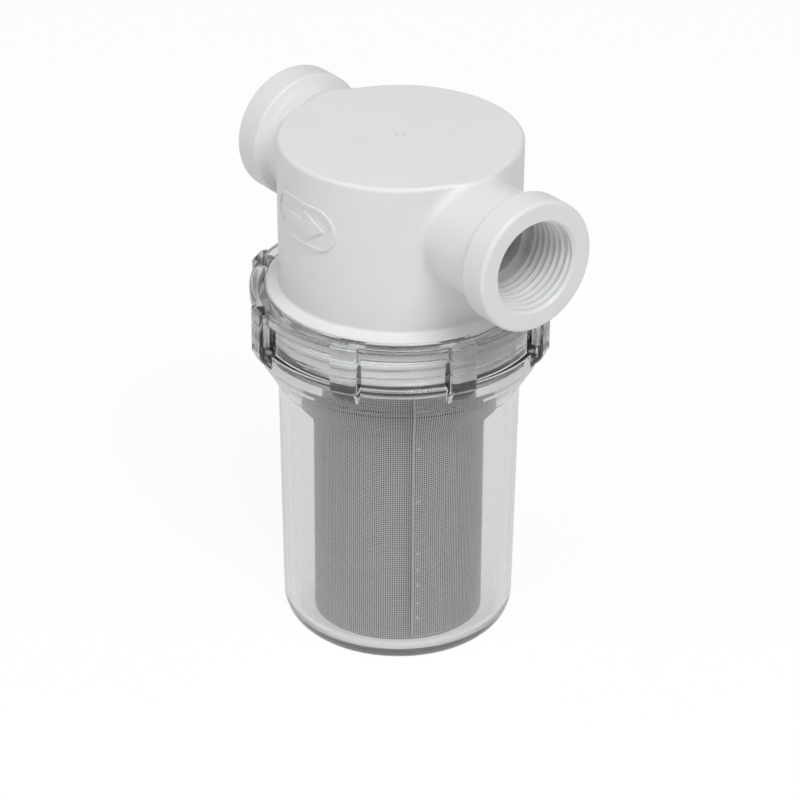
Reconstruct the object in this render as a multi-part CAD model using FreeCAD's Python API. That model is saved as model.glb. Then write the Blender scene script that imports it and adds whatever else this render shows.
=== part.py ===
import FreeCAD, Part
import math
import os

# Sea water strainer: a white moulded head with two pipe ports in line, and a clear
# bowl that screws up under it and holds a stainless mesh screen.
# Millimetres, +Z up. The origin is the centre of the bowl's flat foot, X runs with
# the flow from inlet to outlet, and the front wall, with its flow arrow, faces -Y.

Vector = FreeCAD.Vector
ORIGIN = Vector(0, 0, 0)
X_AXIS = Vector(1, 0, 0)
Z_AXIS = Vector(0, 0, 1)

# ---------------------------------------------------------------- driving sizes
# Clear bowl, from the foot up to the seal ledge
bowl_foot_radius = 27.0          # outside of the wall, low down
bowl_shoulder_radius = 28.0      # outside of the wall, under the shoulder
bowl_wall = 2.5
bowl_floor = 3.0
bowl_depth = 70.7                # from the floor up to the seal ledge
foot_corner = 6.2                # outside rounding round the foot
floor_corner = 3.8               # inside rounding round the floor
ledge_inner_radius = 26.4
inner_shoulder_drop = 5.0        # height of the sloped wall inside, under the ledge
inner_shoulder_round = 3.0       # soft bend where that slope starts
shoulder_round = 3.0             # bend at the foot of the outside shoulder

# Screw collar of the bowl
collar_wall = 2.3
rim_wall = 3.6                   # thicker lip round the mouth
rim_height = 3.2
ring_proud = 1.0                 # lower ring, outside the collar wall
ring_height = 3.6
ring_below_ledge = 0.6
collar_below_ledge = 3.3         # where the collar wall gives way to the shoulder
shoulder_slope = 31.0            # degrees from the upright
lug_count = 8
lug_proud = 3.5                  # outside the collar wall
lug_width = 6.6
lug_height = 13.9
lug_edge = 1.2                   # rounding of the upright edges
lug_toe = 2.6                    # rounding of the lower outer corner
lug_top_edge = 0.8               # rounding of the upper outer corner
clear_edge = 0.5                 # rounding of the outside edges of rim and ring
clear_corner = 0.4               # fillet in the corners beside them, and on the ledge
mouth_edge = 0.3                 # rounding inside the mouth
first_lug_angle = -13.3          # degrees from +X, where the bowl stops when tight

# Seal ring on the ledge
seal_section = 2.0
seal_gap = 0.3                   # left above, below and outside the unsqueezed ring

# Moulded head
skirt_radius = 28.9
skirt_length = 9.2
skirt_lead = 0.8                 # lead-in at the skirt's lower edge
thread_room = 1.1                # radial room for both threads, skirt to collar
flange_radius = 30.5
flange_thickness = 2.2
flange_rise = 1.1                # the flange's top slopes up to the wall by this
flange_edge = 0.3                # rounding of the flange's edge
flange_fillet = 0.5              # where the slope meets the wall
flange_gap = 0.3                 # round and under the flange, inside the rim
head_foot_radius = 27.7          # outside of the wall at the flange
head_top_radius = 28.0           # outside of the wall at the top
head_wall_height = 35.5          # from the flange's root to the flat top
head_bore_radius = 25.0
head_ceiling = 3.5
ceiling_corner = 1.5
top_edge = 1.0                   # rounding of the top edge
gate_radius = 0.9                # moulding gate left on the top
gate_height = 0.4

# Ports, for half inch taper pipe thread
port_drop = 13.4                 # port axis below the flat top
outlet_reach = 48.9              # head axis to the outlet's face
inlet_reach = 42.1               # head axis to the inlet's face
neck_radius = 13.0
neck_blend = 2.5                 # fillet between neck and wall
boss_radius = 15.3               # collar at the port's end
boss_length = 7.0
boss_edge = 0.9
boss_step = 1.2                  # sloped step from boss to neck
boss_fillet = 0.2                # where that step meets the neck
thread_radius = 10.4             # wall of the tapped hole
thread_depth = 15.0
mouth_chamfer = 0.6
passage_radius = 8.0

# Inner spigot that the screen slides on, and the duct from the inlet to it
spigot_radius = 19.2
spigot_wall = 2.2
spigot_below_ledge = 0.4         # its lower end, under the bowl's seal ledge
spigot_lip = 0.6                 # lead-in at the spigot's lower end
duct_wall = 2.6

# Screen
screen_gap = 0.4                 # spigot to mesh, radially
mesh_thickness = 0.45
screen_floor_gap = 0.3
screen_overlap = 8.0             # how far the screen slides up over the spigot
lap_width = 8.0                  # where the rolled mesh overlaps itself
lap_angle = -28.3                # degrees from +X, free edge of the lap
cap_thickness = 0.5
cap_flange = 2.2
cap_corner = 0.6
band_thickness = 0.4
band_height = 5.0
band_edge = 0.15
lap_gap = 0.5                    # from the lap's upper end to the band
gap_columns = 24
gap_rows = 5
gap_width = 2.7
gap_bar = 4.36                   # left between two rows of gaps, hoop and all
hoop_proud = 0.15
hoop_height = 1.2

# Flow arrow on the front wall
arrow_length = 15.0
arrow_head = 5.6
arrow_span = 7.0
arrow_shaft = 2.6
arrow_proud = 0.35
frame_length = 21.0
frame_span = 10.6
frame_line = 0.8

# How far joined solids are drawn into each other, so that they fuse
bite = 1.0
fine_bite = 0.3

# How near two places must be to count as one
near = 1e-3
tiny = 1e-6

# ---------------------------------------------------------------- derived places
ledge_z = bowl_floor + bowl_depth
skirt_end_z = ledge_z + seal_section + 2 * seal_gap
flange_under_z = skirt_end_z + skirt_length
flange_edge_z = flange_under_z + flange_thickness
flange_root_z = flange_edge_z + flange_rise
head_top_z = flange_root_z + head_wall_height
ceiling_z = head_top_z - head_ceiling
port_z = head_top_z - port_drop

collar_bore = skirt_radius + thread_room
collar_radius = collar_bore + collar_wall
rim_bore = flange_radius + flange_gap
rim_radius = rim_bore + rim_wall
rim_floor_z = flange_under_z - flange_gap
rim_top_z = flange_edge_z
rim_under_z = rim_top_z - rim_height
ring_radius = collar_radius + ring_proud
ring_under_z = ledge_z - ring_below_ledge
ring_top_z = ring_under_z + ring_height
lug_radius = collar_radius + lug_proud
lug_foot_z = rim_top_z - lug_height
shoulder_top_z = ledge_z - collar_below_ledge
shoulder_run = collar_radius - bowl_shoulder_radius
shoulder_foot_z = shoulder_top_z - shoulder_run / math.tan(math.radians(shoulder_slope))
inner_shoulder_z = ledge_z - inner_shoulder_drop
seal_radius = collar_bore - seal_gap - seal_section / 2

spigot_end_z = ledge_z - spigot_below_ledge
mesh_inner_radius = spigot_radius + screen_gap
mesh_outer_radius = mesh_inner_radius + mesh_thickness
screen_foot_z = bowl_floor + screen_floor_gap
screen_top_z = spigot_end_z + screen_overlap
screen_length = screen_top_z - screen_foot_z
band_foot_z = screen_top_z - band_height


# ---------------------------------------------------------------- helpers
def rounded_wire(corners):
    """Closed wire in the XZ plane through (r, z) or (r, z, rounding) corners."""
    points = [Vector(c[0], 0, c[1]) for c in corners]
    radii = [c[2] if len(c) > 2 else 0 for c in corners]
    edges = []
    starts = []
    ends = []
    for i, here in enumerate(points):
        before = points[i - 1]
        after = points[(i + 1) % len(points)]
        back = (before - here).normalize()
        ahead = (after - here).normalize()
        if not radii[i]:
            starts.append(here)
            ends.append(here)
            continue
        half = back.getAngle(ahead) / 2
        reach = radii[i] / math.tan(half)
        centre = here + (back + ahead).normalize() * (radii[i] / math.sin(half))
        starts.append(here + back * reach)
        ends.append(here + ahead * reach)
        middle = centre + (here - centre).normalize() * radii[i]
        edges.append(Part.Arc(starts[i], middle, ends[i]).toShape())
    for i in range(len(points)):
        j = (i + 1) % len(points)
        if ends[i].distanceToPoint(starts[j]) > tiny:
            edges.append(Part.LineSegment(ends[i], starts[j]).toShape())
    return Part.Wire(Part.__sortEdges__(edges))


def turned(corners):
    """Solid of revolution about Z from an outline in (radius, height)."""
    return Part.Face(rounded_wire(corners)).revolve(ORIGIN, Z_AXIS, 360)


def turned_about_x(corners):
    """The same about the port axis: corners are (radius, distance along +X)."""
    solid = turned(corners)
    solid.rotate(ORIGIN, Vector(0, 1, 0), 90)
    solid.translate(Vector(0, 0, port_z))
    return solid


def wall_radius(z):
    """Outside radius of the head's tapered wall at a height."""
    share = (z - flange_root_z) / head_wall_height
    return head_foot_radius + share * (head_top_radius - head_foot_radius)


# ---------------------------------------------------------------- moulded head
def head_blank():
    """Body and the two necks, blended into each other and flat on top."""
    spare = head_wall_height / 4
    top_z = head_top_z + spare
    body = turned([
        (0, flange_under_z), (wall_radius(flange_under_z), flange_under_z),
        (wall_radius(top_z), top_z), (0, top_z)])
    reach_in = inlet_reach - boss_length
    reach_out = outlet_reach - boss_length
    necks = Part.makeCylinder(
        neck_radius, reach_in + reach_out, Vector(-reach_in, 0, port_z), X_AXIS)
    joined = body.fuse(necks)
    seams = [e for e in joined.Edges if is_neck_seam(e)]
    joined = joined.makeFillet(neck_blend, seams)
    size = 4 * head_top_radius
    below_top = Part.makeBox(size, size, head_top_z, Vector(-size / 2, -size / 2, 0))
    joined = joined.common(below_top)
    rim = [e for e in joined.Edges if lies_at(e, head_top_z)]
    return joined.makeFillet(top_edge, rim)


def is_neck_seam(edge):
    """True for the curves where a neck leaves the body's wall."""
    box = edge.BoundBox
    return (box.ZMax - box.ZMin > neck_radius / 2
            and box.ZMax <= port_z + neck_radius + near
            and box.ZMin >= port_z - neck_radius - near
            and abs(box.Center.x) < head_top_radius
            and abs(box.Center.x) > neck_radius)


def lies_at(edge, z):
    """True for an edge that runs level at a height."""
    box = edge.BoundBox
    return abs(box.ZMin - z) < near and abs(box.ZMax - z) < near


def flange_and_skirt():
    """Sloped flange that covers the bowl's mouth, and the skirt that screws in."""
    inner = head_bore_radius
    return turned([
        (inner, flange_root_z + bite), (head_foot_radius, flange_root_z + bite),
        (head_foot_radius, flange_root_z, flange_fillet),
        (flange_radius, flange_edge_z, flange_edge),
        (flange_radius, flange_under_z, flange_edge),
        (skirt_radius, flange_under_z), (skirt_radius, skirt_end_z, skirt_lead),
        (inner, skirt_end_z)])


def port_boss(reach):
    """Round collar at the end of a neck, face at the given reach along +X."""
    inner = passage_radius
    step_x = reach - boss_length
    return turned_about_x([
        (inner, step_x - boss_step - bite), (neck_radius, step_x - boss_step - bite),
        (neck_radius, step_x - boss_step, boss_fillet),
        (boss_radius, step_x, boss_edge), (boss_radius, reach, boss_edge),
        (inner, reach)])


def port_hole(reach, inner_end):
    """Tapped hole with a chamfered mouth, and the passage behind it."""
    stop = reach - thread_depth
    over = mouth_chamfer + bite
    return turned_about_x([
        (0, inner_end), (passage_radius, inner_end), (passage_radius, stop),
        (thread_radius, stop), (thread_radius, reach - mouth_chamfer),
        (thread_radius + over, reach + over - mouth_chamfer), (0, reach + over - mouth_chamfer)])


def mirrored(solid):
    """The same solid on the inlet side, turned half round the head's axis."""
    copy = solid.copy()
    copy.rotate(ORIGIN, Z_AXIS, 180)
    return copy


def spigot():
    """Tube under the ceiling that carries the screen."""
    inner = spigot_radius - spigot_wall
    return turned([
        (inner, ceiling_z + bite), (spigot_radius, ceiling_z + bite),
        (spigot_radius, spigot_end_z, spigot_lip), (inner, spigot_end_z)])


def inlet_duct():
    """Duct that takes the inlet's water across to the inside of the spigot."""
    start = spigot_radius - spigot_wall / 2
    length = (head_bore_radius + wall_radius(port_z)) / 2 - start
    duct = Part.makeCylinder(
        passage_radius + duct_wall, length, Vector(start, 0, port_z), X_AXIS)
    size = 4 * head_top_radius
    below = Part.makeBox(size, size, ceiling_z + bite, Vector(-size / 2, -size / 2, 0))
    return mirrored(duct.common(below))


def raised_on_wall(outline):
    """A flat outline (x, height above the port axis) raised on the front wall."""
    points = [Vector(x, 0, port_z + z) for x, z in outline]
    prism = Part.Face(Part.makePolygon(points + points[:1])).extrude(
        Vector(0, -2 * head_top_radius, 0))
    return prism.common(wall_skin())


def wall_skin():
    """Thin sleeve on the outside of the tapered wall."""
    low, high = flange_root_z + top_edge, head_top_z - top_edge
    return turned([
        (wall_radius(low) - fine_bite, low), (wall_radius(low) + arrow_proud, low),
        (wall_radius(high) + arrow_proud, high), (wall_radius(high) - fine_bite, high)])


def flow_arrow():
    """Arrow that points from the inlet to the outlet."""
    tip = arrow_length / 2
    neck = tip - arrow_head
    shaft = arrow_shaft / 2
    return raised_on_wall([
        (-tip, -shaft), (neck, -shaft), (neck, -arrow_span / 2), (tip, 0),
        (neck, arrow_span / 2), (neck, shaft), (-tip, shaft)])


def arrow_frame():
    """Oblong line round the arrow, with half round ends."""
    outer = oblong(frame_length, frame_span)
    inner = oblong(frame_length - 2 * frame_line, frame_span - 2 * frame_line)
    return outer.cut(inner).common(wall_skin())


def oblong(length, span):
    """Prism with half round ends, standing out of the front wall."""
    depth = 2 * head_top_radius
    straight = length - span
    corner = Vector(-straight / 2, -depth, port_z - span / 2)
    body = Part.makeBox(straight, depth, span, corner)
    for side in (-1, 1):
        middle = Vector(side * straight / 2, -depth, port_z)
        body = body.fuse(Part.makeCylinder(span / 2, depth, middle, Vector(0, 1, 0)))
    return body


def head():
    """One moulding: body, ports, flange, skirt, spigot and duct."""
    solid = head_blank()
    hollow = turned([
        (0, 0), (head_bore_radius, 0), (head_bore_radius, ceiling_z, ceiling_corner),
        (0, ceiling_z)])
    solid = solid.fuse([port_boss(outlet_reach), mirrored(port_boss(inlet_reach))])
    solid = solid.cut(hollow)
    solid = solid.fuse([flange_and_skirt(), spigot(), inlet_duct()])
    solid = solid.cut(port_hole(outlet_reach, spigot_radius + bite))
    solid = solid.cut(mirrored(port_hole(inlet_reach, spigot_radius - 2 * spigot_wall)))
    gate = Part.makeCylinder(
        gate_radius, gate_height + bite, Vector(0, 0, head_top_z - bite))
    solid = solid.fuse([flow_arrow(), arrow_frame(), gate])
    return solid.removeSplitter()


# ---------------------------------------------------------------- clear bowl
def bowl_shell():
    """Cup, sloped shoulder, screw collar, lower ring and rim in one outline."""
    top_inner = bowl_shoulder_radius - bowl_wall
    foot_inner = bowl_foot_radius - bowl_wall
    return turned([
        (0, 0), (bowl_foot_radius, 0, foot_corner),
        (bowl_shoulder_radius, shoulder_foot_z, shoulder_round),
        (collar_radius, shoulder_top_z, clear_edge), (collar_radius, ring_under_z, clear_corner),
        (ring_radius, ring_under_z, clear_edge), (ring_radius, ring_top_z, clear_edge),
        (collar_radius, ring_top_z, clear_corner), (collar_radius, rim_under_z, clear_corner),
        (rim_radius, rim_under_z, clear_edge), (rim_radius, rim_top_z, clear_edge),
        (rim_bore, rim_top_z, mouth_edge), (rim_bore, rim_floor_z), (collar_bore, rim_floor_z),
        (collar_bore, ledge_z), (ledge_inner_radius, ledge_z, clear_corner),
        (top_inner, inner_shoulder_z, inner_shoulder_round),
        (foot_inner, bowl_floor, floor_corner),
        (0, bowl_floor)])


def grip_lug():
    """One upright lug at +X, rounded outside and at its lower corner."""
    root = collar_radius - collar_wall / 3
    outline = rounded_wire([
        (root, lug_foot_z), (lug_radius, lug_foot_z, lug_toe),
        (lug_radius, rim_top_z, lug_top_edge), (root, rim_top_z)])
    lug = Part.Face(outline).extrude(Vector(0, lug_width, 0))
    lug.translate(Vector(0, -lug_width / 2, 0))
    upright = [e for e in lug.Edges if is_lug_edge(e)]
    return lug.makeFillet(lug_edge, upright)


def is_lug_edge(edge):
    """True for the two long upright edges on the lug's outer face."""
    box = edge.BoundBox
    return abs(box.XMin - lug_radius) < near and box.ZMax - box.ZMin > lug_height / 2


def bowl():
    """The clear moulding with its grip lugs."""
    solid = bowl_shell()
    lugs = []
    for i in range(lug_count):
        lug = grip_lug()
        lug.rotate(ORIGIN, Z_AXIS, first_lug_angle + i * 360 / lug_count)
        lugs.append(lug)
    solid = solid.fuse(lugs)
    rim_way = turned([
        (0, rim_floor_z), (rim_bore, rim_floor_z), (rim_bore, rim_top_z + bite),
        (0, rim_top_z + bite)])
    return solid.cut(rim_way).removeSplitter()


def seal_ring():
    """Ring of round section on the bowl's ledge, under the head's skirt."""
    centre = Vector(0, 0, ledge_z + seal_gap + seal_section / 2)
    return Part.makeTorus(seal_radius, seal_section / 2, centre, Z_AXIS)


# ---------------------------------------------------------------- screen
def screen_mesh():
    """Rolled mesh: a thin wall with hoops, a lapped seam and rows of gaps."""
    pitch = (screen_length - band_height - cap_flange) / gap_rows
    first_z = screen_foot_z + cap_flange
    wall = turned([
        (mesh_inner_radius, screen_foot_z), (mesh_outer_radius, screen_foot_z),
        (mesh_outer_radius, screen_top_z), (mesh_inner_radius, screen_top_z)])
    hoops = [hoop(first_z + i * pitch) for i in range(1, gap_rows)]
    wall = wall.fuse(hoops + [lap()])
    return wall.cut(mesh_gaps(first_z, pitch))


def hoop(z):
    """Thicker wire round the mesh at a height."""
    inner = mesh_inner_radius + mesh_thickness / 2
    outer = mesh_outer_radius + hoop_proud
    low, high = z - hoop_height / 2, z + hoop_height / 2
    return turned([(inner, low), (outer, low), (outer, high), (inner, high)])


def lap():
    """Second layer of mesh along the seam, from its free edge on."""
    sweep = math.degrees(lap_width / mesh_outer_radius)
    inner = mesh_inner_radius + mesh_thickness / 2
    outer = mesh_outer_radius + mesh_thickness
    foot = screen_foot_z + cap_flange / 2
    top = band_foot_z - lap_gap
    outline = rounded_wire([(inner, foot), (outer, foot), (outer, top), (inner, top)])
    strip = Part.Face(outline).revolve(ORIGIN, Z_AXIS, sweep)
    strip.rotate(ORIGIN, Z_AXIS, lap_angle)
    return strip


def mesh_gaps(first_z, pitch):
    """Rows of upright gaps through the wall, clear of the hoops."""
    reach = mesh_outer_radius + bite
    gap_height = pitch - gap_bar
    gaps = []
    for column in range(gap_columns):
        angle = lap_angle + (column + 0.5) * 360 / gap_columns
        for row in range(gap_rows):
            low = first_z + row * pitch + gap_bar / 2
            corner = Vector(mesh_inner_radius / 2, -gap_width / 2, low)
            gap = Part.makeBox(reach - mesh_inner_radius / 2, gap_width, gap_height, corner)
            gap.rotate(ORIGIN, Z_AXIS, angle)
            gaps.append(gap)
    return Part.makeCompound(gaps)


def screen_end_cap():
    """Pressed cup that closes the screen's lower end, flange upwards."""
    flange_inner = mesh_inner_radius - band_thickness
    return turned([
        (0, screen_foot_z), (mesh_inner_radius, screen_foot_z, cap_corner),
        (mesh_inner_radius, screen_foot_z + cap_flange),
        (flange_inner, screen_foot_z + cap_flange),
        (flange_inner, screen_foot_z + cap_thickness), (0, screen_foot_z + cap_thickness)])


def screen_top_band():
    """Band welded round the mesh's upper end, which keeps it round."""
    outer = mesh_outer_radius + band_thickness
    return turned([
        (mesh_outer_radius, band_foot_z), (outer, band_foot_z, band_edge),
        (outer, screen_top_z, band_edge), (mesh_outer_radius, screen_top_z)])


# ---------------------------------------------------------------- write the pieces
PIECES = {
    "head": head,
    "bowl": bowl,
    "bowl_seal_ring": seal_ring,
    "screen_mesh": screen_mesh,
    "screen_end_cap": screen_end_cap,
    "screen_top_band": screen_top_band,
}


def main():
    os.makedirs("parts", exist_ok=True)
    for name, make in PIECES.items():
        shape = make()
        shape.exportStep("parts/" + name + ".step")
        box = shape.BoundBox
        print(f"{name}: solids {len(shape.Solids)}, valid {shape.isValid()}, "
              f"volume {shape.Volume:.1f}, z {box.ZMin:.2f} to {box.ZMax:.2f}, "
              f"x {box.XMin:.2f} to {box.XMax:.2f}")


main()
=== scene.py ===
# %% [markdown]
# # A small sea water strainer, dressed for its portrait
#
# A pump on a boat draws sea water through this part before the water reaches anything
# delicate. A white moulded head carries the two pipe threads. A clear bowl screws up under
# it and holds a fine steel screen that keeps weed and grit back.
#
# The solid model comes in as a fixed frame: six pieces, already at their real size, in
# metres. This lesson gives them their surfaces and adds what a solid model leaves out: the
# screw threads, the woven wire and the way clear plastic treats light.

from math import acos, atan2, cos, pi, radians, sin, tan

import bmesh
import bpy
from mathutils import Matrix, Vector


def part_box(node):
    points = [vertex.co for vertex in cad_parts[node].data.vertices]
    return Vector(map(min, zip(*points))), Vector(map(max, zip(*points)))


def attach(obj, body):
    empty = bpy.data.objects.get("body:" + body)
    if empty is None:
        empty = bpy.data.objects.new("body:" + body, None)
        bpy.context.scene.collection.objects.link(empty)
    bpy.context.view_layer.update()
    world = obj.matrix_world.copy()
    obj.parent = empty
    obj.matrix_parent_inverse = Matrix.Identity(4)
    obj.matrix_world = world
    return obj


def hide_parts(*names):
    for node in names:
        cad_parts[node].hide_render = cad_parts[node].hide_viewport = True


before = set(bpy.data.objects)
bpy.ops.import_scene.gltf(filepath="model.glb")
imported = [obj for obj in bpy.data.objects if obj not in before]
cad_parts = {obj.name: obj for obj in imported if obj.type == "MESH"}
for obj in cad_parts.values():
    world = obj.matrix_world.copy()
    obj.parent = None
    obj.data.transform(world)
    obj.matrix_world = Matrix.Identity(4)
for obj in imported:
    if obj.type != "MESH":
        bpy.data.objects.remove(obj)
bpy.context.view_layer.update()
print("pieces in the frame:", sorted(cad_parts))

# %% [markdown]
# ## Sizes that the added pieces share with the solids
#
# A solid's box gives its height and its widest radius, but not a wall half way in. Those
# few radii are written here once, in millimetres, and every added piece is built from
# them, so that a thread sits on its wall and not beside it.

# %% Radii and heights
MM = 0.001
PORT_Z = 110.9
OUTLET_REACH, INLET_REACH = 48.9, 42.1
PORT_ROOT = 10.4
SKIRT_RADIUS, SKIRT_FOOT = 28.9, 76.3
COLLAR_BORE, COLLAR_RADIUS = 30.0, 32.3
LEDGE_Z, RIM_Z = 73.7, 87.7
SCREEN_RADIUS, SCREEN_FOOT, SCREEN_TOP = 19.825, 3.3, 81.3
low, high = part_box("head")
print("head stands from", round(low.z / MM, 1), "to", round(high.z / MM, 1), "mm")

# %% [markdown]
# ## From a list of corners to a mesh
#
# Nearly every piece here is turned or swept, so a handful of helpers is enough. The first
# one makes a mesh object from points and faces, smooths it and hangs it on the body it
# moves with. Millimetres go in and metres come out.


# %% A helper that makes one piece
def new_piece(name, points, faces, body, material):
    """A smooth mesh object that rides on a body; points are in millimetres."""
    mesh = bpy.data.meshes.new(name)
    mesh.from_pydata([Vector(p) * MM for p in points], [], faces)
    cleaner = bmesh.new()
    cleaner.from_mesh(mesh)
    bmesh.ops.remove_doubles(cleaner, verts=cleaner.verts, dist=1e-7)
    bmesh.ops.recalc_face_normals(cleaner, faces=cleaner.faces)
    cleaner.to_mesh(mesh)
    cleaner.free()
    mesh.shade_smooth()
    piece = bpy.data.objects.new(name, mesh)
    bpy.context.scene.collection.objects.link(piece)
    mesh.materials.append(material)
    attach(piece, body)
    print(f"{name}: {len(mesh.vertices)} points, {len(mesh.polygons)} faces")
    return piece


def ring_faces(rings, size, start=0):
    """Faces that join closed rings of `size` points, one ring to the next."""
    return [
        (start + i * size + j, start + i * size + (j + 1) % size,
         start + (i + 1) * size + (j + 1) % size, start + (i + 1) * size + j)
        for i in range(rings - 1) for j in range(size)]


# %% [markdown]
# The outline helper rounds the corners of a turned shape. Real mouldings have no sharp
# corner, and a clear one shows every rounding as a bright or dark line, so this is where
# the bowl's look begins.


# %% Helpers that round and divide an outline
def rounded(corners, step=12.0):
    """Corners (r, z) or (r, z, rounding) become points, with arcs of `step` degrees."""
    points = []
    for i, corner in enumerate(corners):
        here = Vector(corner[:2])
        if len(corner) == 2 or i in (0, len(corners) - 1):
            points.append(tuple(here))
            continue
        back = (Vector(corners[i - 1][:2]) - here).normalized()
        ahead = (Vector(corners[i + 1][:2]) - here).normalized()
        half = acos(max(-1.0, min(1.0, back.dot(ahead)))) / 2
        reach = corner[2] / tan(half)
        centre = here + (back + ahead).normalized() * (corner[2] / sin(half))
        first, last = here + back * reach - centre, here + ahead * reach - centre
        turn = pi - 2 * half
        count = max(2, round(turn / radians(step)))
        for k in range(count + 1):
            share = k / count
            arm = (first * sin(turn * (1 - share)) + last * sin(turn * share)) / sin(turn)
            points.append(tuple(centre + arm))
    return points


def divided(points, longest):
    """The same outline with no stretch longer than `longest`."""
    result = [points[0]]
    for a, b in zip(points, points[1:]):
        a, b = Vector(a), Vector(b)
        count = max(1, int((b - a).length / longest + 0.999))
        result += [tuple(a.lerp(b, k / count)) for k in range(1, count + 1)]
    return result


print("a rounded square corner has", len(rounded([(0, 0), (5, 0, 1), (5, 5)])), "points")

# %% [markdown]
# ## Finishes
#
# A finish is a small web of nodes round one Principled shader. Its plain numbers go on the
# shader's own sockets, and only what varies over the surface comes through a link. Most
# skins here get their relief the same way: a noise gives a height, and a bump turns the
# height into a tilt of the surface.


# %% Helpers for finishes
def finish(name, **sockets):
    """A material with one Principled shader whose sockets take plain values."""
    material = bpy.data.materials.new(name)
    material.use_nodes = True
    shader = material.node_tree.nodes["Principled BSDF"]
    for label, value in sockets.items():
        label = label.replace("_", " ").title().replace("Ior", "IOR")
        shader.inputs[label].default_value = value
    return material, material.node_tree, shader


def add(tree, kind, **settings):
    """A node with its settings; inputs are set as in1=..., in2=... by position."""
    node = tree.nodes.new(kind)
    for label, value in settings.items():
        if label.startswith("in") and label[2:].isdigit():
            node.inputs[int(label[2:])].default_value = value
        else:
            setattr(node, label, value)
    return node


def wire(tree, source, target):
    """Joins an output socket to an input socket."""
    tree.links.new(source, target)


def maths(tree, operation, a, b=0.0, clamp=False):
    """A Math node on two plain numbers or sockets; returns its output."""
    node = add(tree, "ShaderNodeMath", operation=operation, use_clamp=clamp)
    for socket, value in zip(node.inputs, (a, b)):
        if isinstance(value, float):
            socket.default_value = value
        else:
            wire(tree, value, socket)
    return node.outputs[0]


# %% Helpers for relief, for mixing and for dressing a solid
def relief(tree, shader, height, strength, depth):
    """Tilts the surface by a height socket; `depth` is in metres."""
    bump = add(tree, "ShaderNodeBump")
    bump.inputs["Strength"].default_value = strength
    bump.inputs["Distance"].default_value = depth
    wire(tree, height, bump.inputs["Height"])
    wire(tree, bump.outputs["Normal"], shader.inputs["Normal"])


def noise(tree, place, scale, detail):
    """A noise over a place socket; returns its grey output."""
    cloud = add(tree, "ShaderNodeTexNoise", in2=scale, in3=detail)
    wire(tree, place, cloud.inputs["Vector"])
    return cloud.outputs["Fac"]


def mixed_surface(tree, share, first, second):
    """Makes the surface a mix of two shaders, by a share socket."""
    choose = add(tree, "ShaderNodeMixShader")
    wire(tree, share, choose.inputs[0])
    wire(tree, first.outputs[0], choose.inputs[1])
    wire(tree, second.outputs[0], choose.inputs[2])
    wire(tree, choose.outputs[0], tree.nodes["Material Output"].inputs["Surface"])


def dress(name, material):
    """Puts a finish on one of the frame's own pieces."""
    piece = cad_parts[name]
    piece.data.materials.clear()
    piece.data.materials.append(material)
    print(material.name, "is on", name)


# %% [markdown]
# ### Moulded white plastic
#
# The head is taken to be a plastic such as polypropylene, straight from a polished mould.
# It is a little waxy: light goes a millimetre or two in before it comes back, and the shine
# is soft. Two noises do the rest. A broad one shifts the white by a hair, as flow in the
# mould does, and a fine one makes the faint orange peel that keeps a highlight from looking
# computed.

# %% White plastic
white_plastic, tree, shader = finish(
    "white_plastic", base_color=(0.78, 0.78, 0.775, 1), roughness=0.38,
    specular_ior_level=0.45, subsurface_weight=0.12, subsurface_scale=0.002)
place = add(tree, "ShaderNodeTexCoord").outputs["Object"]
tint = add(tree, "ShaderNodeMix", data_type="RGBA")
tint.inputs[6].default_value = (0.765, 0.765, 0.76, 1)
tint.inputs[7].default_value = (0.80, 0.80, 0.795, 1)
wire(tree, noise(tree, place, 60.0, 3.0), tint.inputs[0])
wire(tree, tint.outputs[2], shader.inputs["Base Color"])
relief(tree, shader, noise(tree, place, 900.0, 2.0), 0.12, 0.00005)
dress("head", white_plastic)

# %% [markdown]
# ### Clear plastic
#
# The bowl is one clear moulding. Three things make it look like plastic and not like air.
#
# - **Bending.** A Principled shader with full transmission bends light, so the shoulder
#   and the collar turn what lies behind them upside down or wide.
# - **Straight rays.** Lamps would reach what is inside only as rare bright specks, and the
#   screen would stand in the dark. So shadow rays pass straight through a slightly grey
#   Transparent shader. So do rays that have been through more than seven surfaces, which
#   would otherwise run out of bounces and turn black along every rounded edge.
# - **Smoke.** Thick plastic is darker than thin. An absorbing volume does that by itself:
#   the longer the way through the wall, the greyer it gets.

# %% Clear plastic: bending, straight rays and smoke
CLEAR_TINT = (0.97, 0.975, 0.975, 1)
CLEAR_ROUGHNESS = 0.02
clear_plastic, tree, shader = finish(
    "clear_plastic", base_color=CLEAR_TINT, roughness=CLEAR_ROUGHNESS, ior=1.47,
    transmission_weight=1.0)
through = add(tree, "ShaderNodeBsdfTransparent")
through.inputs["Color"].default_value = CLEAR_TINT
path = add(tree, "ShaderNodeLightPath")
deep = maths(tree, "GREATER_THAN", path.outputs["Ray Depth"], 7.0)
straight = maths(tree, "MAXIMUM", path.outputs["Is Shadow Ray"], deep)
mixed_surface(tree, straight, shader, through)
smoke = add(tree, "ShaderNodeVolumeAbsorption")
smoke.inputs["Color"].default_value = (0.50, 0.51, 0.51, 1)
smoke.inputs["Density"].default_value = 36.0
wire(tree, smoke.outputs[0], tree.nodes["Material Output"].inputs["Volume"])

# %% [markdown]
# The bowl isn't equally polished everywhere. The screw collar is handled at every cleaning,
# so its shine softens from the ring upwards, and the foot is worn to a frost where it
# stands. Both are ramps of roughness over height, and the stronger of the two wins. A slow
# noise adds the slight waves of a moulded wall.

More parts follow.
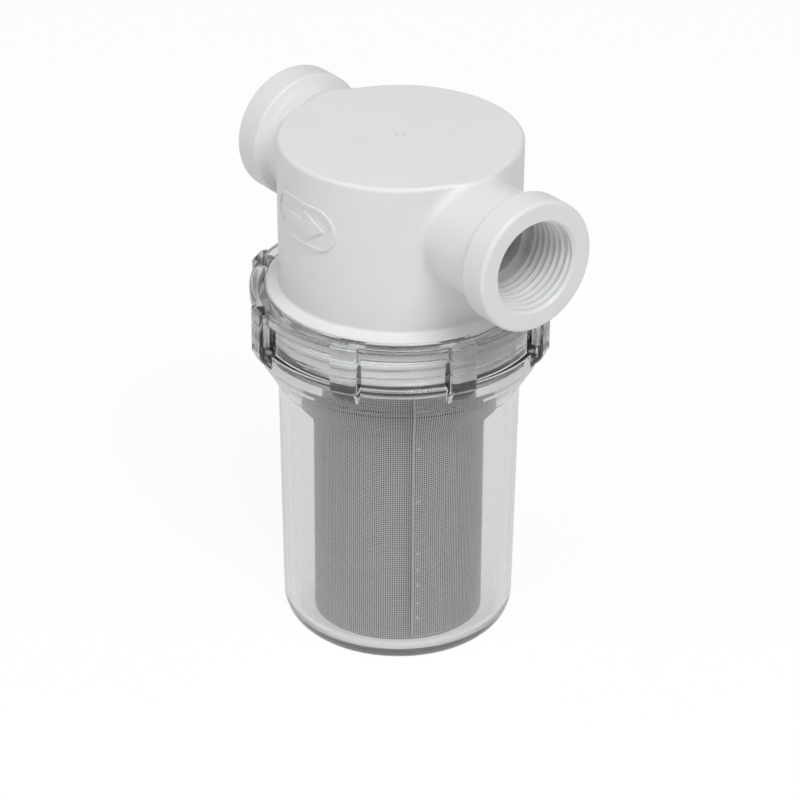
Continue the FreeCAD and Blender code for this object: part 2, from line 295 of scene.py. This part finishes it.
# %% Clear plastic: wear and waves
COLLAR_HAZE, FOOT_FROST = 0.14, 0.5
place = add(tree, "ShaderNodeTexCoord").outputs["Object"]
relief(tree, shader, noise(tree, place, 45.0, 1.0), 0.05, 0.0002)
height = add(tree, "ShaderNodeSeparateXYZ")
wire(tree, place, height.inputs[0])
haze = add(tree, "ShaderNodeMapRange", in1=0.0728, in2=0.0768, in3=CLEAR_ROUGHNESS,
           in4=COLLAR_HAZE)
frost = add(tree, "ShaderNodeMapRange", in1=0.0, in2=0.003, in3=FOOT_FROST,
            in4=CLEAR_ROUGHNESS)
for ramp in (haze, frost):
    wire(tree, height.outputs[2], ramp.inputs[0])
wear = maths(tree, "MAXIMUM", haze.outputs[0], frost.outputs[0])
wire(tree, wear, shader.inputs["Roughness"])
print("clear plastic ready")

# %% [markdown]
# ### Rubber and sheet steel
#
# The seal is matt black rubber with a fine grain. The screen's end cap and top band are
# pressed from thin stainless sheet. Rolling leaves a fine grain all one way, so the noise
# there is stretched: it changes fast up the sheet and slowly round it.

# %% Seal rubber
seal_rubber, tree, shader = finish(
    "seal_rubber", base_color=(0.035, 0.035, 0.036, 1), roughness=0.62)
place = add(tree, "ShaderNodeTexCoord").outputs["Object"]
relief(tree, shader, noise(tree, place, 2500.0, 3.0), 0.3, 0.00004)
dress("bowl_seal_ring", seal_rubber)

# %% Sheet steel
sheet_steel, tree, shader = finish(
    "sheet_steel", base_color=(0.60, 0.60, 0.59, 1), metallic=1.0, roughness=0.34)
stretch = add(tree, "ShaderNodeMapping")
stretch.inputs["Scale"].default_value = (60, 60, 3000)
wire(tree, add(tree, "ShaderNodeTexCoord").outputs["Object"], stretch.inputs["Vector"])
relief(tree, shader, noise(tree, stretch.outputs[0], 1.0, 2.0), 0.25, 0.00003)
for name in ("screen_end_cap", "screen_top_band"):
    dress(name, sheet_steel)

# %% [markdown]
# ### Woven wire
#
# The screen is plain woven stainless wire, about forty nine wires to the inch. Wires
# modelled one by one would take a million faces, so the sheet is a plain surface and the
# weave is worked out by nodes from the sheet's own map, which is in wire spacings. For each
# of the two sets of wires, a ramp says how far a point is from the nearest wire. Each
# wire's height rises and dips as it passes over and under its neighbours. Where a point is
# on neither wire, the surface lets light through, dimmed to a dark grey: painted shade that
# stands in for the dark inside the screen.

# %% The wires
WIRE_PITCH, WIRE_SHARE = 0.52, 0.23
woven_wire, tree, shader = finish(
    "woven_wire", base_color=(0.62, 0.62, 0.615, 1), metallic=1.0, roughness=0.34)
cells = add(tree, "ShaderNodeUVMap", uv_map="weave")
split = add(tree, "ShaderNodeSeparateXYZ")
wire(tree, cells.outputs[0], split.inputs[0])
across, up = split.outputs[0], split.outputs[1]


def strand(side, along):
    """Mask and height of the wires that stand `side` by side and run `along`."""
    off = maths(tree, "FRACT", side)
    off = maths(tree, "ABSOLUTE", maths(tree, "SUBTRACT", off, 0.5))
    on = maths(tree, "LESS_THAN", off, WIRE_SHARE)
    share = maths(tree, "DIVIDE", off, WIRE_SHARE)
    square = maths(tree, "MULTIPLY", share, share)
    crown = maths(tree, "SQRT", maths(tree, "SUBTRACT", 1.0, square, clamp=True))
    turn = maths(tree, "ADD", along, maths(tree, "FLOOR", side))
    wave = maths(tree, "SINE", maths(tree, "MULTIPLY", turn, pi))
    return on, maths(tree, "MULTIPLY", on, maths(tree, "ADD", crown, wave))


# %% The weave
upright, upright_height = strand(across, up)
level, level_height = strand(up, maths(tree, "ADD", across, 1.0))
relief(tree, shader, maths(tree, "MAXIMUM", upright_height, level_height), 1.0,
       WIRE_PITCH * WIRE_SHARE * MM)
# The holes' dark grey is painted shade: it darkens everything seen through them, in place of
# the shade inside the screen.
painted_shade_hole = add(tree, "ShaderNodeBsdfTransparent")
painted_shade_hole.inputs["Color"].default_value = (0.12, 0.12, 0.12, 1)
mixed_surface(tree, maths(tree, "MAXIMUM", upright, level), painted_shade_hole, shader)
print("weave of", round(25.4 / WIRE_PITCH), "wires to the inch")

# %% [markdown]
# ## The clear bowl
#
# The bowl is turned: one outline goes round the axis. Two things break the symmetry, the
# eight grip lugs outside and the screw thread inside the collar. Joining separate solids
# would leave walls inside the plastic, and those show in anything clear. So the bowl stays
# one skin, and the outline's points are pushed: outwards where a lug stands, inwards where
# the thread runs.

# %% The thread's line
THREAD_PITCH, THREAD_HEIGHT = 3.6, 0.7
THREAD_BASE, THREAD_CREST = 2.1, 0.9
THREAD_FIRST, THREAD_LAST, THREAD_PHASE = 77.2, 84.2, 0.9


def thread_rise(angle, z):
    """How much of the bowl's thread stands at an angle and height, from 0 to 1."""
    turn = (angle / (2 * pi)) % 1.0
    best = 0.0
    for k in range(-1, 5):
        centre = THREAD_FIRST + THREAD_PHASE + (turn + k) * THREAD_PITCH
        fade = min(centre - THREAD_FIRST, THREAD_LAST - centre) / (THREAD_PITCH / 12)
        slope = (THREAD_BASE / 2 - abs(z - centre)) / ((THREAD_BASE - THREAD_CREST) / 2)
        best = max(best, max(0.0, min(1.0, slope)) * max(0.0, min(1.0, fade)))
    return best * best * (3 - 2 * best)


print("half way round, the thread has climbed", THREAD_PITCH / 2, "mm")

# %% [markdown]
# The outline is read from the foot upwards on the outside and back down on the inside. The
# third number of a corner is its rounding. Below the collar's ring the wall slopes in to
# the shoulder, and the shoulder meets the straight wall in a soft bend.

# %% The bowl's outline
bowl_outside = rounded([
    (0, 0), (27.0, 0, 6.2), (28.0, 63.244, 3.0), (COLLAR_RADIUS, 70.4, 0.1),
    (COLLAR_RADIUS, 71.1, 0.1), (33.3, 72.8, 0.4), (33.3, 76.7, 0.5),
    (COLLAR_RADIUS, 76.7, 0.4), (COLLAR_RADIUS, 84.5, 0.4), (34.4, 84.5, 0.5),
    (34.4, RIM_Z, 0.5), (30.8, RIM_Z, 0.3), (30.8, 85.2)])
bowl_inside = rounded([
    (30.8, 85.2), (COLLAR_BORE, 85.2, 0.1), (COLLAR_BORE, LEDGE_Z, 0.1),
    (26.4, LEDGE_Z, 0.4), (25.5, 68.7, 3.0), (24.5, 3.0, 3.8), (0, 3.0)])
print("outline points:", len(bowl_outside), "outside and", len(bowl_inside), "inside")

# %% [markdown]
# A lug is a block with rounded edges, so its sides need points close together and the wall
# between two lugs needs only a few. The list of places below is made for one lug and
# repeated eight times. Places are in millimetres from the lug's middle, measured round the
# bowl at one fixed radius.

# %% Angles round the bowl
LUG_COUNT, FIRST_LUG = 8, radians(-13.3)
LUG_ARC_RADIUS = 34.0
LUG_SECTOR = 2 * pi / LUG_COUNT
half_sector = pi / LUG_COUNT * LUG_ARC_RADIUS
near = [0.0, 0.8, 1.5, 2.1, 2.35, 2.6, 2.8, 2.95, 3.08, 3.18, 3.26, 3.3, 3.4, 3.55, 3.75]
far = [4.3 + i * 0.9 for i in range(10)]
places = near + [f for f in far if f < half_sector - 0.3]
one_side = [s / LUG_ARC_RADIUS for s in places]
one_sector = [-a for a in reversed(one_side[1:])] + one_side + [half_sector / LUG_ARC_RADIUS]
bowl_angles = [
    FIRST_LUG + i * 2 * pi / LUG_COUNT + a for i in range(LUG_COUNT) for a in one_sector]
print(len(bowl_angles), "angles round the bowl")

# %% [markdown]
# Each lug has four roundings: the edge along its sides, the heel where its sides run in at
# the bottom, the toe under it and the brow over it. All four are a quarter of a circle, so
# one small function serves them all.

# %% The lugs
LUG_FOOT, LUG_HALF, LUG_RADIUS = 73.8, 3.3, 35.8
LUG_EDGE, LUG_HEEL, LUG_TOE, LUG_BROW = 1.2, 2.2, 2.6, 0.8


def arc(depth, rounding):
    """Height of a quarter circle, `depth` past the place where it begins."""
    return max(0.0, rounding**2 - max(0.0, depth) ** 2) ** 0.5


def lug_reach(offset, z):
    """Outside radius of a lug at a distance from its middle, or 0 beside it."""
    half = LUG_HALF - LUG_HEEL + arc(LUG_HEEL - (z - LUG_FOOT), LUG_HEEL)
    offset = abs(offset)
    if offset > half or not LUG_FOOT <= z <= RIM_Z + 0.05:
        return 0.0
    reach = LUG_RADIUS
    reach -= LUG_EDGE - arc(offset - (half - LUG_EDGE), LUG_EDGE)
    reach -= LUG_TOE - arc(LUG_TOE - (z - LUG_FOOT), LUG_TOE)
    reach -= LUG_BROW - arc(LUG_BROW - (RIM_Z - z), LUG_BROW)
    return reach


print("a lug reaches", round(lug_reach(0, 80), 2), "mm from the axis")

# %% [markdown]
# Lugs push only the collar's outer skin, never the inside of its rim. The thread pushes
# only the collar's bore, and that wall is divided finely so that the ridge has points to
# stand on.

# %% Push the outline
SKIN_RADIUS, SKIN_FOOT = 31.5, 73.0
THREAD_WALL_FOOT, THREAD_WALL_TOP = 75.0, 85.19


def bowl_point(angle, r, z, outside):
    """Where a point of the outline goes at an angle, with lugs and thread."""
    on_bore = abs(r - COLLAR_BORE) < 0.01 and THREAD_WALL_FOOT < z < THREAD_WALL_TOP
    if outside and z > SKIN_FOOT and r > SKIN_RADIUS:
        offset = (angle - FIRST_LUG + LUG_SECTOR / 2) % LUG_SECTOR - LUG_SECTOR / 2
        r = max(r, lug_reach(offset * LUG_ARC_RADIUS, z))
    elif on_bore and not outside:
        r -= THREAD_HEIGHT * thread_rise(angle, z)
    return (r * cos(angle), r * sin(angle), z)


def on_thread_wall(point):
    """True for a point of the inside outline that the thread may push."""
    return point[1] > THREAD_WALL_FOOT and abs(point[0] - COLLAR_BORE) < 0.3


fine = [p for p in divided(bowl_inside, 0.15) if on_thread_wall(p)]
coarse = [p for p in divided(bowl_inside[:-1], 3.0) if not on_thread_wall(p)]
below = next(i for i, p in enumerate(coarse) if p[1] < THREAD_WALL_FOOT)
inner = coarse[:below] + fine + coarse[below:]
outline = [(r, z, True) for r, z in divided(bowl_outside[1:], 2.0)]
outline += [(r, z, False) for r, z in inner[1:]]
print(len(outline), "rings of points in the bowl")

# %% Turn the bowl
size = len(bowl_angles)
points = [bowl_point(a, r, z, side) for r, z, side in outline for a in bowl_angles]
faces = ring_faces(len(outline), size)
bottom, top = len(points), len(points) + 1
points += [(0, 0, 0), (0, 0, bowl_inside[-1][1])]
last = (len(outline) - 1) * size
faces += [(bottom, (j + 1) % size, j) for j in range(size)]
faces += [(top, last + j, last + (j + 1) % size) for j in range(size)]
clear_bowl = new_piece("clear_bowl", points, faces, "bowl", clear_plastic)
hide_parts("bowl")
even = clear_bowl.modifiers.new("even_shading", "WEIGHTED_NORMAL")
even.keep_sharp = True

# %% [markdown]
# ## Screw threads on the head
#
# A thread is one small profile carried along a helix. The Screw modifier can do that, but
# it starts and stops with a cut end, while a moulded thread rises out of its wall and sinks
# back into it. So the profile is laid down step by step, with its height faded at both
# ends. A pipe thread also widens towards the mouth, while the solid's hole is straight, so
# its ridge sinks a little into the wall there.


# %% A helper for threads
def helix_ridge(name, wall, height, base, crest, pitch, start, turns,
                taper=0.0, along_x=0, rounding=0.06):
    """A ridge on a wall: outwards if height is positive, inwards if it is negative."""
    steps, sink = 96, 0.25 if height > 0 else -0.25
    profile = (
        (-base / 2, -sink, 0), (-base / 2, 0, 0), (-crest / 2, 0, 1), (crest / 2, 0, 1),
        (base / 2, 0, 0), (base / 2, -sink, 0))
    size, count = len(profile), int(turns * steps)
    points = []
    for i in range(count + 1):
        angle = 2 * pi * i / steps
        fade = max(0.0, min(1.0, i / (steps / 5), (count - i) / (steps / 5)))
        for across, out, risen in profile:
            r = wall - taper * pitch * i / steps + (out + height * fade * risen)
            x, y, z = r * cos(angle), r * sin(angle), start + pitch * i / steps + across
            if along_x:
                x, y, z = along_x * z, -y * along_x, PORT_Z + x
            points.append((x, y, z))
    faces = ring_faces(count + 1, size)
    faces += [tuple(range(size)), tuple(range(count * size, (count + 1) * size))]
    piece = new_piece(name, points, faces, "head", white_plastic)
    soft = piece.modifiers.new("soft_edges", "BEVEL")
    soft.width, soft.segments, soft.limit_method = rounding * MM, 2, "ANGLE"
    soft.angle_limit = radians(25)


# %% [markdown]
# The skirt's thread is coarse, with a flat crest, as screw collars that are turned by hand
# have. The two ports carry a fine taper pipe thread, fourteen turns to the inch, that
# narrows inwards by one part in thirty two on each side.

# %% Cut the three threads
helix_ridge(
    "skirt_thread", SKIRT_RADIUS, THREAD_HEIGHT, THREAD_BASE, THREAD_CREST, THREAD_PITCH,
    SKIRT_FOOT + 1.8, 1.7)
PIPE_PITCH, PIPE_DEPTH, PIPE_TURNS = 25.4 / 14, 14.2, 6.9
PIPE_HEIGHT, PIPE_BASE, PIPE_CREST = 0.9, 1.74, 0.5
for side, reach, way in (("outlet", OUTLET_REACH, 1), ("inlet", INLET_REACH, -1)):
    helix_ridge(
        side + "_thread", PORT_ROOT, -PIPE_HEIGHT, PIPE_BASE, PIPE_CREST, PIPE_PITCH,
        reach - PIPE_DEPTH, PIPE_TURNS, taper=-1 / 32, along_x=way, rounding=0.16)

# %% [markdown]
# ## The woven screen
#
# The screen is a rolled tube. Its map is laid out in wire spacings, so that one cell of the
# weave is one unit of the map, whatever the tube's size. A second, shorter sheet lies over
# the first along the seam, and a row of spot welds holds the two together.


# %% Helpers for woven sheets
def angle_near(at, middle, first):
    """Angle of a point past the sheet's first edge, on the same turn as its face."""
    face_angle = (atan2(middle.y, middle.x) - first) % (2 * pi)
    angle = (atan2(at.y, at.x) - first) % (2 * pi)
    if angle - face_angle > pi:
        angle -= 2 * pi
    if face_angle - angle > pi:
        angle += 2 * pi
    return angle


def woven_sheet(name, radius, foot, top, first, sweep, steps):
    """Part of a tube of woven wire with its map in wire spacings."""
    rows = 12
    points = []
    for k in range(rows + 1):
        z = foot + (top - foot) * k / rows
        for i in range(steps + 1):
            angle = first + sweep * i / steps
            points.append((radius * cos(angle), radius * sin(angle), z))
    corners = [k * (steps + 1) + i for k in range(rows) for i in range(steps)]
    faces = [(a, a + 1, a + steps + 2, a + steps + 1) for a in corners]
    piece = new_piece(name, points, faces, "screen", woven_wire)
    cells = piece.data.uv_layers.new(name="weave")
    for face in piece.data.polygons:
        for loop in face.loop_indices:
            at = piece.data.vertices[piece.data.loops[loop].vertex_index].co / MM
            angle = angle_near(at, face.center, first)
            cells.data[loop].uv = (angle * radius / WIRE_PITCH, at.z / WIRE_PITCH)
    return piece


# %% Roll the two sheets
LAP_ANGLE, LAP_SWEEP, LAP_GAP = radians(-28.3), radians(22.9), 0.45
LAP_FOOT, LAP_TOP = SCREEN_FOOT + 1.0, 75.8
screen = woven_sheet(
    "woven_screen", SCREEN_RADIUS, SCREEN_FOOT, SCREEN_TOP, LAP_ANGLE, 2 * pi, 192)
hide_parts("screen_mesh")
woven_sheet(
    "screen_lap", SCREEN_RADIUS + LAP_GAP, LAP_FOOT, LAP_TOP, LAP_ANGLE, LAP_SWEEP, 16)

# %% [markdown]
# The cut edge of the outer sheet is a thin strip of bare metal, swept straight up. Each
# spot weld is a shallow button: three rings of points, the inner ones a little higher, and
# a flat lid.

# %% The lap's cut edge
EDGE_STEPS = 60
points = []
for k in range(EDGE_STEPS + 1):
    z = LAP_FOOT + (LAP_TOP - LAP_FOOT) * k / EDGE_STEPS
    for r, shift in ((19.9, -0.004), (20.36, -0.006), (20.38, 0.006), (19.9, 0.006)):
        points.append((r * cos(LAP_ANGLE + shift), r * sin(LAP_ANGLE + shift), z))
faces = ring_faces(EDGE_STEPS + 1, 4)
faces += [(0, 1, 2, 3), tuple(range(EDGE_STEPS * 4, EDGE_STEPS * 4 + 4))]
new_piece("lap_edge", points, faces, "screen", sheet_steel)

# %% The spot welds
WELD_HEIGHTS = (9.5, 13.5, 18.5, 22.5, 27.0, 41.0, 55.0, 69.0)
WELD_RINGS = ((20.26, 0.55), (20.34, 0.42), (20.30, 0.2))
WELD_POINTS, WELD_ARC_RADIUS = 16, 20.3
turn = LAP_ANGLE + radians(3.4)
points, faces = [], []
for z in WELD_HEIGHTS:
    start = len(points)
    for r, width in WELD_RINGS:
        for i in range(WELD_POINTS):
            a = 2 * pi * i / WELD_POINTS
            side, lift = width * cos(a) / WELD_ARC_RADIUS, width * sin(a)
            points.append((r * cos(turn + side), r * sin(turn + side), z + lift))
    faces += ring_faces(len(WELD_RINGS), WELD_POINTS, start)
    faces.append(tuple(range(len(points) - WELD_POINTS, len(points))))
new_piece("spot_welds", points, faces, "screen", sheet_steel)

# %% [markdown]
# ## The stage
#
# The floor is plain and pale. Seen by the camera, in a reflection or through the clear
# bowl, most of its brightness is its own, so that it reads as white paper, and the rest is
# lit like any surface, so that the strainer still throws its shadow.


# %% Which rays see the stage as bent or mirrored
def bent_rays(tree, path):
    """1 for a ray that was mirrored or went through something clear."""
    return maths(tree, "MAXIMUM", path.outputs["Is Glossy Ray"],
                 path.outputs["Is Transmission Ray"])


# %% The floor
FLOOR_SIZE, FLOOR_Z = 8.0, -0.0002
floor_paint, tree, shader = finish(
    "floor_paint", base_color=(0.86, 0.86, 0.86, 1), roughness=0.9)
path = add(tree, "ShaderNodeLightPath")
in_view = path.outputs["Is Camera Ray"]
glow = add(tree, "ShaderNodeEmission")
glow.inputs["Color"].default_value = (1, 1, 1, 1)
power = maths(tree, "ADD", maths(tree, "MULTIPLY", in_view, 0.24), 0.80)
wire(tree, power, glow.inputs["Strength"])
seen = maths(tree, "MAXIMUM", in_view, bent_rays(tree, path))
mixed_surface(tree, maths(tree, "MULTIPLY", seen, 0.86), shader, glow)
bpy.ops.mesh.primitive_plane_add(size=FLOOR_SIZE, location=(0, 0, FLOOR_Z))
ground = bpy.context.object
ground.name = "floor"
ground.data.materials.append(floor_paint)

# %% [markdown]
# The world is white where the camera sees it and dimmer where it only gives light. Rays
# that come by way of the clear bowl see a third thing: a room that is dark at the level of
# the eye and brightens towards the ceiling and the floor. Without it a clear part on white
# has nothing to show its edges with.

# %% The world
world = bpy.data.worlds.new("studio")
bpy.context.scene.world = world
world.use_nodes = True
tree = world.node_tree
backdrop = tree.nodes["Background"]
path = add(tree, "ShaderNodeLightPath")
bent = bent_rays(tree, path)
facing = add(tree, "ShaderNodeSeparateXYZ")
wire(tree, add(tree, "ShaderNodeTexCoord").outputs["Generated"], facing.inputs[0])
slant = maths(tree, "ABSOLUTE", facing.outputs[2])
climb = maths(tree, "MULTIPLY", slant, 1.8, clamp=True)
room = maths(tree, "ADD", maths(tree, "MULTIPLY", climb, 0.75), 0.25)
plain = maths(tree, "MULTIPLY", path.outputs["Is Camera Ray"], 0.62)
plain = maths(tree, "ADD", plain, 0.38)
plain = maths(tree, "MULTIPLY", plain, maths(tree, "SUBTRACT", 1.0, bent))
strength = maths(tree, "ADD", plain, maths(tree, "MULTIPLY", bent, room))
backdrop.inputs["Color"].default_value = (1, 1, 1, 1)
wire(tree, strength, backdrop.inputs["Strength"])
print("floor and world are in place")

# %% [markdown]
# ## The lamps
#
# Two large soft lamps are enough on a pale stage. The key stands high over the outlet and
# draws the round of the head. The front lamp is weaker and keeps the arrow's wall open.


# %% The lamps
def soft_lamp(name, at, target, size, power):
    """A square area lamp that looks at a point."""
    lamp = bpy.data.lights.new(name, "AREA")
    lamp.size, lamp.energy = size, power
    holder = bpy.data.objects.new(name, lamp)
    bpy.context.scene.collection.objects.link(holder)
    holder.location = at
    holder.rotation_euler = (Vector(at) - Vector(target)).to_track_quat("Z", "Y").to_euler()


middle = Vector((0, 0, 0.07))
soft_lamp("key_lamp", (0.64, -0.16, 1.0), middle, 0.5, 6.4)
soft_lamp("front_lamp", (-0.05, -0.85, 0.95), middle, 0.6, 2.9)

# %% [markdown]
# ## The camera
#
# A long lens from a little under a metre, looking down at twenty nine degrees, from the
# side of the outlet. Turning the camera itself, and not the strainer, keeps every piece
# where the solid model put it. Sinking and drifting the camera along its own axes sets
# where the strainer stands in the picture.

# %% The camera
azimuth, elevation, roll = radians(52.441), radians(29.065), radians(-0.352)
distance, sink, drift = 0.8492, 0.05944, 0.00025
aim = Vector((0, 0, 0.1243))
back = Vector((sin(azimuth) * cos(elevation), -cos(azimuth) * cos(elevation), sin(elevation)))
right = Vector((cos(azimuth), sin(azimuth), 0))
upward = back.cross(right)
lens = bpy.data.cameras.new("camera")
lens.lens, lens.sensor_width = 170.4, 36.0
camera = bpy.data.objects.new("camera", lens)
bpy.context.scene.collection.objects.link(camera)
camera.location = aim + back * distance + right * drift - upward * sink
axes = Matrix((right, upward, back)).transposed() @ Matrix.Rotation(-roll, 3, "Z")
camera.rotation_euler = axes.to_euler()
bpy.context.scene.camera = camera
bpy.context.scene.view_settings.view_transform = "Standard"
print("camera at", tuple(round(v, 3) for v in camera.location))
